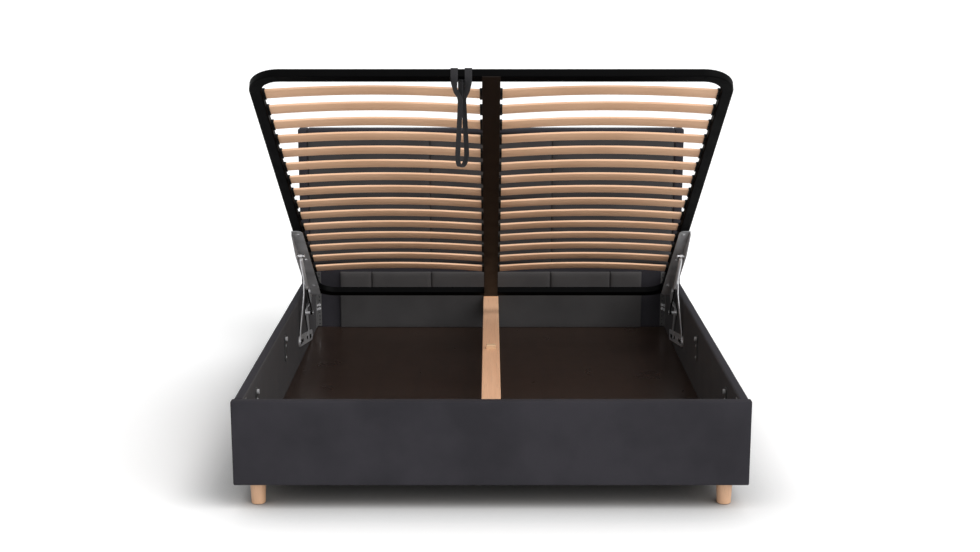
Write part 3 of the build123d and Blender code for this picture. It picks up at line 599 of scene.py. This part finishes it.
def side_places(low, high, radius, spacing, turns=3):
    """Places along one side of a padded box, closer together at its round ends."""
    bends = [radius * math.tan(math.pi / 4 * step / turns) for step in range(turns + 1)]
    inner = high - low - 2 * radius
    count = max(1, round(inner / spacing))
    places = [low + radius - bend for bend in reversed(bends)]
    places += [low + radius + inner * step / count for step in range(1, count)]
    return places + [high - radius + bend for bend in bends]


def swell(distance, inset):
    """How far a pad has risen at a distance from its edge, from 0 to 1."""
    return 1 - (1 - min(max(distance / inset, 0), 1)) ** 2


def padded_points(low, high, thin, faces, crown, inset, radius, draw, spacing, ripple):
    """The points and faces of a padded box: round edges, crowned faces, sides that draw in."""
    low, high = list(low), list(high)
    if -1 in faces:
        low[thin] += crown
    if 1 in faces:
        high[thin] -= crown
    wide = [axis for axis in range(3) if axis != thin]
    middle = [(low[axis] + high[axis]) / 2 for axis in range(3)]
    half = [(high[axis] - low[axis]) / 2 for axis in range(3)]
    places = [side_places(low[axis], high[axis], radius, spacing) for axis in range(3)]
    index, points, quads = {}, [], []

    def corner(key):
        if key in index:
            return index[key]
        raw = [places[axis][key[axis]] for axis in range(3)]
        core = [min(max(raw[axis], low[axis] + radius), high[axis] - radius) for axis in range(3)]
        away = Vector([raw[axis] - core[axis] for axis in range(3)])
        point = Vector(core) + away.normalized() * radius if away.length > 0 else Vector(core)
        share = [(point[axis] - middle[axis]) / half[axis] for axis in range(3)]
        side = 1 if share[thin] > 0 else -1
        if side in faces:
            rise = 1.0
            for axis in wide:
                rise *= swell(half[axis] - abs(point[axis] - middle[axis]), inset)
            point[thin] += side * crown * rise * abs(share[thin])
        for axis, other in (wide, wide[::-1]):
            point[axis] -= draw * share[axis] ** draw_power * (1 - share[other] ** 2)
        wave = noise.noise(Vector(point) * coarse_ripples)
        wave += fine_ripple_share * noise.noise(Vector(point) * fine_ripples)
        point[thin] += ripple * wave * min(1, half[thin] / rippled_half) * abs(share[thin])
        index[key] = len(points)
        points.append(point)
        return index[key]

    for axis in range(3):
        first, second = [other for other in range(3) if other != axis]
        for end in (0, len(places[axis]) - 1):
            for i in range(len(places[first]) - 1):
                for j in range(len(places[second]) - 1):
                    quad = []
                    for step_i, step_j in ((0, 0), (1, 0), (1, 1), (0, 1)):
                        key = [0, 0, 0]
                        key[axis], key[first], key[second] = end, i + step_i, j + step_j
                        quad.append(corner(tuple(key)))
                    quads.append(quad)
    return points, quads


def behind(low, high, depth):
    """The box behind a row of tiles, a little inside them."""
    return ((low[0] + backing_edge, low[1] + depth, low[2] + backing_edge),
            (high[0] - backing_edge, high[1] - backing_back, high[2] - backing_edge))


def joined(parts):
    """Several lists of points and faces as one."""
    points, faces = [], []
    for new_points, new_faces in parts:
        faces += [[index + len(points) for index in face] for face in new_faces]
        points += new_points
    return points, faces


def padded_piece(name, boxes, thin, replaced, faces=(-1, 1), crown=0.002, inset=0.05, radius=0.008, draw=0.0,
                 spacing=0.02, ripple=0.0004, material=None, backing=None):
    """One upholstered piece of the box, from one or more padded boxes and a flat backing for their seams."""
    parts = []
    if backing is not None:
        parts.append(padded_points(*backing, thin, (), 0, inset, backing_radius, 0, backing_spacing, 0))
    for low, high in boxes:
        parts.append(padded_points(low, high, thin, faces, crown, inset, radius, draw, spacing, ripple))
    mesh = finished_mesh(name, *joined(parts))
    add_piece(name, mesh, "box", "dark_leather", replaced, material)


def swept(line, ring, sideways):
    """Points and faces of a section swept along a line. Each ring point is (across, out)."""
    points, faces = [], []
    count = len(ring)
    last = len(line) - 1
    for step, spot in enumerate(line):
        forward = (line[min(step + 1, last)] - line[max(step - 1, 0)]).normalized()
        side = sideways(step).normalized()
        out = side.cross(forward).normalized()
        points += [spot + side * across + out * off for across, off in ring]
    for step in range(last):
        for turn in range(count):
            other = (turn + 1) % count
            faces.append([step * count + turn, step * count + other, (step + 1) * count + other,
                          (step + 1) * count + turn])
    faces.append(list(range(count)))
    faces.append([last * count + turn for turn in range(count)])
    return points, faces


def turned_points(profile, start, axis, sides):
    """Points and faces of a turned shape. The profile is (distance along the axis, radius)."""
    axis = axis.normalized()
    side = axis.orthogonal().normalized()
    other = axis.cross(side)
    points, faces = [], []
    for along_axis, radius in profile:
        for step in range(sides):
            angle = math.tau * step / sides
            outwards = (side * math.cos(angle) + other * math.sin(angle)) * radius
            points.append(start + axis * along_axis + outwards)
    for ring in range(len(profile) - 1):
        for step in range(sides):
            after = (step + 1) % sides
            faces.append([ring * sides + step, ring * sides + after, (ring + 1) * sides + after,
                          (ring + 1) * sides + step])
    faces.append(list(range(sides)))
    faces.append([(len(profile) - 1) * sides + step for step in range(sides)])
    return points, faces


def sharpen(piece):
    """Marks edges that turn a lot as sharp."""
    shape = bmesh.new()
    shape.from_mesh(piece.data)
    for edge in shape.edges:
        if len(edge.link_faces) == 2 and edge.calc_face_angle(0) > sharp_angle:
            edge.smooth = False
    shape.to_mesh(piece.data)
    shape.free()


# Upholstery
def add_panels():
    """The foot panel and the two rails, each a padded piece that hides its board too."""
    low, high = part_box("foot_panel_cover")
    low = (low[0], low[1], low[2] - panel_overhang)
    padded_piece("foot_panel_padding", [(low, high)], 1, ["foot_panel_cover", "foot_panel_board"],
                 crown=0.0015, radius=0.005)
    for side in ("left", "right"):
        low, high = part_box("side_rail_" + side + "_cover")
        low = (low[0], low[1], low[2] - panel_overhang)
        replaced = ["side_rail_" + side + "_cover", "side_rail_" + side + "_board"]
        padded_piece("side_rail_" + side + "_padding", [(low, high)], 0, replaced, crown=0.0015, radius=0.006,
                     material=rail_leather)


def add_headboard():
    """The headboard's border, its field of tiles and its lower panel."""
    low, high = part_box("headboard_border")
    field_low, field_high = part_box("headboard_tiles")
    inner = field_high[0] + tile_seam
    top = field_high[2] + tile_seam
    bars = [((low[0], low[1], low[2]), (-inner, high[1], high[2])),
            ((inner, low[1], low[2]), (high[0], high[1], high[2])),
            ((-inner, low[1], top), (inner, high[1], high[2]))]
    padded_piece("headboard_border_padding", bars, 1, ["headboard_border"], faces=(-1,), crown=0.003,
                 inset=0.02, radius=0.007)
    width = (field_high[0] - field_low[0] + 2 * tile_seam) / tile_columns
    height = (field_high[2] - field_low[2] + 2 * tile_seam) / tile_rows
    tiles = []
    for column in range(tile_columns):
        for row in range(tile_rows):
            x = field_low[0] - tile_seam + column * width
            z = field_low[2] - tile_seam + row * height
            tiles.append(((x + tile_seam, field_low[1], z + tile_seam),
                          (x + width - tile_seam, field_high[1], z + height - tile_seam)))
    padded_piece("headboard_tile_padding", tiles, 1, ["headboard_tiles"], faces=(-1,), crown=0.007,
                 inset=0.036, radius=0.005, draw=0.0012, spacing=0.014, ripple=0.0006,
                 material=inner_leather, backing=behind(field_low, field_high, tile_backing_depth))
    padded_piece("headboard_lower_padding", [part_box("headboard_lower_panel")], 1, ["headboard_lower_panel"],
                 faces=(-1,), crown=0.002, radius=0.004)


def add_head_end():
    """The panel at the box's head end and the row of small tiles above it."""
    padded_piece("head_end_padding", [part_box("head_end_panel")], 1, ["head_end_panel"], faces=(-1,),
                 crown=0.0015, radius=0.004, material=inner_leather)
    low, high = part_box("head_end_tiles")
    half = high[0] + head_end_seam
    tiles = []
    for start, end in zip(head_end_seam_shares, head_end_seam_shares[1:]):
        for side in (-1, 1):
            ends = sorted((side * start * half, side * end * half))
            tiles.append(((ends[0] + head_end_seam, low[1], low[2]),
                          (ends[1] - head_end_seam, high[1], high[2])))
    padded_piece("head_end_tile_padding", tiles, 1, ["head_end_tiles"], faces=(-1,), crown=0.004,
                 inset=0.014, radius=0.006, draw=0.0006, spacing=0.012, material=tile_leather,
                 backing=behind(low, high, head_end_backing_depth))


def add_back_cloth():
    """The thin black cloth stapled over the headboard's back, a little onto its turned leather edge."""
    low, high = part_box("headboard_board")
    left, right = low[0] - cloth_lap, high[0] + cloth_lap
    bottom, top = low[2] + cloth_lift, high[2] + cloth_lap
    y = high[1] + cloth_gap
    points, faces = [], []
    for row in range(cloth_rows + 1):
        for column in range(cloth_columns + 1):
            x = left + (right - left) * column / cloth_columns
            z = bottom + (top - bottom) * row / cloth_rows
            sag = cloth_sag * (1 + noise.noise(Vector((x * cloth_waves, 0, z * cloth_waves))))
            points.append(Vector((x, y + sag, z)))
    for row in range(cloth_rows):
        for column in range(cloth_columns):
            corner = row * (cloth_columns + 1) + column
            faces.append([corner, corner + 1, corner + cloth_columns + 2, corner + cloth_columns + 1])
    mesh = finished_mesh("headboard_back_cloth", points, faces)
    cloth = add_piece("headboard_back_cloth", mesh, "box", "black_webbing", material=lining)
    across, upwards = Vector((1, 0, 0)), Vector((0, 0, 1))
    staples = []
    for step in range(staple_columns + 1):
        x = left + staple_inset + (right - left - 2 * staple_inset) * step / staple_columns
        staples += [(x, bottom + staple_inset, across), (x, top - staple_inset, across)]
    for step in range(1, staple_rows):
        z = bottom + staple_inset + (top - bottom - 2 * staple_inset) * step / staple_rows
        staples += [(left + staple_inset, z, upwards), (right - staple_inset, z, upwards)]
    half = staple_profile[-1][0] / 2
    shapes = []
    for x, z, direction in staples:
        start = Vector((x, y + staple_raise, z)) - direction * half
        shapes.append(turned_points(staple_profile, start, direction, sides=6))
    pins = add_piece("back_staples", finished_mesh("back_staples", *joined(shapes)), "box", "bright_steel")


# Legs
def add_legs():
    """Turned beech legs on black glides."""
    up = Vector((0, 0, 1))
    for name in ("front_legs", "rear_legs"):
        low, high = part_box(name)
        feet = [Vector((side * (high[0] - leg_inset), (low[1] + high[1]) / 2, 0)) for side in (-1, 1)]
        wood = joined([turned_points(leg_profile, foot, up, sides=56) for foot in feet])
        add_piece(name + "_turned", finished_mesh(name, *wood), "box", "beech", [name])
        glides = joined([turned_points(glide_profile, foot, up, sides=40) for foot in feet])
        mesh = finished_mesh(name + "_glides", *glides)
        sharpen(add_piece(name + "_glides", mesh, "box", "black_plastic"))


# Gas springs
def add_gas_springs():
    """Bright cylinders with crimped ends and black rods with sockets, on the line between the two pins."""
    across = Vector((1, 0, 0))
    for side, sign in (("left", -1), ("right", 1)):
        low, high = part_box("gas_cylinder_" + side)
        x = (low[0] + high[0]) / 2
        top = Vector((x, *gas_top))
        foot = Vector((x, *gas_foot))
        axis = (foot - top).normalized()
        length = (foot - top).length
        parts = [turned_points(gas_shell, top, axis, sides=40), turned_points(gas_eye, top, across, sides=36)]
        sharpen(add_piece("gas_cylinder_" + side + "_tube", finished_mesh("gas_tube", *joined(parts)),
                          "gas_cylinders", "bright_tube", ["gas_cylinder_" + side]))
        rod = [(gas_rod_start, gas_rod_radius), (length - gas_rod_short, gas_rod_radius)]
        socket = [(length + before_end, radius) for before_end, radius in gas_socket]
        parts = [turned_points(rod, top, axis, sides=28), turned_points(socket, top, axis, sides=28),
                 turned_points(gas_ball, foot, across, sides=36)]
        sharpen(add_piece("gas_rod_" + side + "_bar", finished_mesh("gas_bar", *joined(parts)), "gas_rods",
                          "black_rod", ["gas_rod_" + side]))
        clip = turned_points(gas_clip, foot - across * (sign * gas_clip_offset), across, sides=32)
        add_piece("gas_clip_" + side, finished_mesh("gas_clip", *clip), "gas_rods", "bright_steel")


# Pull strap
def route_points(places):
    """The points of a smooth NURBS line with these control points."""
    curve = bpy.data.curves.new("route", "CURVE")
    curve.dimensions = "3D"
    spline = curve.splines.new("NURBS")
    spline.points.add(len(places) - 1)
    for point, spot in zip(spline.points, places):
        point.co = (*spot, 1)
    spline.order_u = 3
    spline.use_endpoint_u = True
    spline.resolution_u = route_resolution
    route = bpy.data.objects.new("route", curve)
    mesh = bpy.data.meshes.new_from_object(route)
    points = [vertex.co.copy() for vertex in mesh.vertices]
    bpy.data.objects.remove(route)
    bpy.data.curves.remove(curve)
    return points


def along(line):
    """How far each point of a line is along it."""
    lengths = [0.0]
    for before, after in zip(line, line[1:]):
        lengths.append(lengths[-1] + (after - before).length)
    return lengths


def band_ring():
    """The section of the woven band: flat, with rounded selvedges."""
    half, thick = strap_width / 2, strap_thickness / 2
    ring = [(-half, 0), (-half + thick * 0.4, thick * 0.8), (-half + thick * 1.4, thick), (0, thick * 0.9)]
    ring += [(half - thick * 1.4, thick), (half - thick * 0.4, thick * 0.8), (half, 0)]
    ring += [(half - thick * 0.4, -thick * 0.8), (half - thick * 1.4, -thick), (0, -thick * 0.9)]
    return ring + [(-half + thick * 1.4, -thick), (-half + thick * 0.4, -thick * 0.8)]


def band_piece(name, line, sideways):
    """A band swept along a line, with UV in metres, across it and along it, for the weave."""
    ring = band_ring()
    count = len(ring)
    lengths = along(line)
    mesh = finished_mesh(name, *swept(line, ring, sideways))
    layer = mesh.uv_layers.new(name="weave")
    for loop in mesh.loops:
        step, turn = divmod(loop.vertex_index, count)
        share = abs(turn - count / 2) / (count / 2)
        layer.data[loop.index].uv = (share * strap_width, lengths[min(step, len(lengths) - 1)])
    return add_piece(name, mesh, "platform", "black_webbing", ["pull_strap"])


def add_strap():
    """The hanging loop of webbing, and its hitch round the foot bar."""
    turn = math.radians(strap_turn)
    start = Vector(strap_place)
    places = [start + Vector((across * math.cos(turn), across * math.sin(turn), up))
              for across, up in strap_route]
    line = route_points(places)
    side = Vector((-math.sin(turn), math.cos(turn), 0))
    loop = band_piece("pull_strap_loop", line, lambda step: side)
    add_hitch()


def add_hitch():
    """The two turns over the foot bar: they draw together on the hanging loop, with a bight behind it."""
    spots = list(hitch_ends[0]) + [(-side, back, up) for side, back, up in hitch_side]
    spots += hitch_side[::-1] + hitch_ends[1][::-1]
    start = Vector(strap_place)
    line = route_points([start + Vector(spot) for spot in spots])
    bar = start + Vector((0, math.sin(frame_tilt), math.cos(frame_tilt))) * bar_half_depth
    normals = []
    for point in line:
        offset = point - start
        if offset.z < hitch_level and offset.y < hitch_front:
            turned = math.radians(90 - strap_turn) * min((hitch_level - offset.z) / hitch_turning, 1)
            normals.append(Vector((-math.sin(turned), -math.cos(turned), 0)))
        elif offset.z < hitch_bar_level:
            normals.append(Vector((0, math.cos(frame_tilt), -math.sin(frame_tilt))))
        else:
            normals.append(Vector((0, point.y - bar.y, point.z - bar.z)).normalized())
    for repeat in range(hitch_smoothing):
        near = [normals[0]] + normals + [normals[-1]]
        normals = [(near[step] + near[step + 1] * 2 + near[step + 2]).normalized()
                   for step in range(len(normals))]

    def sideways(step):
        forward = line[min(step + 1, len(line) - 1)] - line[max(step - 1, 0)]
        return forward.cross(normals[step])

    return band_piece("pull_strap_hitch", line, sideways)


# Small parts
def soften_edges():
    """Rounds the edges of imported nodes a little, so that they catch the light."""
    for width, names in edge_widths:
        for name in names:
            node = frame["nodes"][name]
            weld = node.modifiers.new("weld", "WELD")
            weld.merge_threshold = weld_distance
            bevel = node.modifiers.new("bevel", "BEVEL")
            bevel.width = width
            bevel.segments = bevel_segments
            bevel.limit_method = "ANGLE"
            bevel.angle_limit = bevel_angle


def add_pegs():
    """The small black pegs that hold the outer end of each slat in its holder."""
    foot = Vector((0, -math.cos(frame_tilt), math.sin(frame_tilt)))
    down = Vector((0, -math.sin(frame_tilt), -math.cos(frame_tilt)))
    head = Vector((0, *open_head))
    parts = []
    for row in range(slat_rows):
        run = first_slat_run + row * slat_pitch
        for side in (-1, 1):
            start = head + foot * run + down * peg_sink + Vector((side * peg_x, 0, 0))
            parts.append(turned_points(peg_profile, start, down, sides=16))
    add_piece("slat_pegs", finished_mesh("slat_pegs", *joined(parts)), "platform", "black_plastic")


# Floor, light and camera
def seen_directly(tree):
    """1 for what the camera sees itself, through glass or in a reflection, else 0."""
    path = tree.nodes.new("ShaderNodeLightPath")
    seen = combine(tree, "MAXIMUM", path.outputs["Is Camera Ray"], path.outputs["Is Transmission Ray"])
    return combine(tree, "MAXIMUM", seen, path.outputs["Is Glossy Ray"])


def two_faced(owner, shader, output):
    """An empty node tree with one shader for indirect rays and another for what is seen directly."""
    owner.use_nodes = True
    tree = owner.node_tree
    tree.nodes.clear()
    mix = tree.nodes.new("ShaderNodeMixShader")
    unseen, seen = tree.nodes.new(shader), tree.nodes.new(shader)
    tree.links.new(seen_directly(tree), mix.inputs["Fac"])
    tree.links.new(unseen.outputs[0], mix.inputs[1])
    tree.links.new(seen.outputs[0], mix.inputs[2])
    tree.links.new(mix.outputs[0], tree.nodes.new(output).inputs["Surface"])
    return tree, unseen, seen


def add_floor():
    """A wide pale floor that keeps the shadow. It is whiter where it is seen than where it lights the bed,
    and where it is seen it darkens near the bed by ambient occlusion: a painted contact shadow.
    """
    mesh = bpy.data.meshes.new("floor")
    corners = [(x * floor_half, y * floor_half, 0) for x, y in ((-1, -1), (1, -1), (1, 1), (-1, 1))]
    mesh.from_pydata(corners, [], [(0, 1, 2, 3)])
    floor = bpy.data.objects.new("floor", mesh)
    bpy.context.scene.collection.objects.link(floor)
    material = bpy.data.materials.new("pale_floor")
    tree, plain, white = two_faced(material, "ShaderNodeBsdfDiffuse", "ShaderNodeOutputMaterial")
    plain.inputs["Color"].default_value = (floor_grey, floor_grey, floor_grey, 1)
    # Painted contact shadow: ambient occlusion darkens the seen colour under and beside the bed
    shade = tree.nodes.new("ShaderNodeAmbientOcclusion")
    shade.inputs["Distance"].default_value = contact_reach
    shade.samples = contact_samples
    near = spread(tree, shade.outputs["AO"], 0, 1, contact_shade * floor_white, floor_white)
    tree.links.new(near, white.inputs["Color"])
    mesh.materials.append(material)


def add_world():
    """White where it is seen directly or in a reflection, and a softer light elsewhere."""
    world = bpy.data.worlds.new("studio")
    bpy.context.scene.world = world
    tree, soft, white = two_faced(world, "ShaderNodeBackground", "ShaderNodeOutputWorld")
    soft.inputs["Color"].default_value = (1, 1, 1, 1)
    white.inputs["Color"].default_value = (1, 1, 1, 1)
    white.inputs["Strength"].default_value = 1.0
    source = tree.nodes.new("ShaderNodeTexCoord")
    height = axis_value(tree, source.outputs["Generated"], "Z")
    tree.links.new(spread(tree, height, 0, 1, world_low, world_high), soft.inputs["Strength"])


def add_suns():
    """Wide, soft suns that shine along their directions."""
    for name, (towards, angle, strength) in suns.items():
        data = bpy.data.lights.new(name, "SUN")
        data.angle = math.radians(angle)
        data.energy = strength
        lamp = bpy.data.objects.new(name, data)
        bpy.context.scene.collection.objects.link(lamp)
        lamp.rotation_euler = Vector(towards).to_track_quat("-Z", "Y").to_euler()


def add_camera():
    """The photograph's camera."""
    data = bpy.data.cameras.new("camera")
    data.sensor_width = camera_sensor
    data.lens = camera_lens
    data.clip_end = camera_reach
    camera = bpy.data.objects.new("camera", data)
    bpy.context.scene.collection.objects.link(camera)
    camera.location = camera_place
    camera.rotation_euler = (math.radians(camera_pitch), 0, 0)
    bpy.context.scene.camera = camera


dress_nodes()
add_strap()
add_panels()
add_headboard()
add_head_end()
add_back_cloth()
add_legs()
add_gas_springs()
add_pegs()
soften_edges()
add_floor()
add_world()
add_suns()
add_camera()
bpy.context.scene.view_settings.view_transform = "Standard"
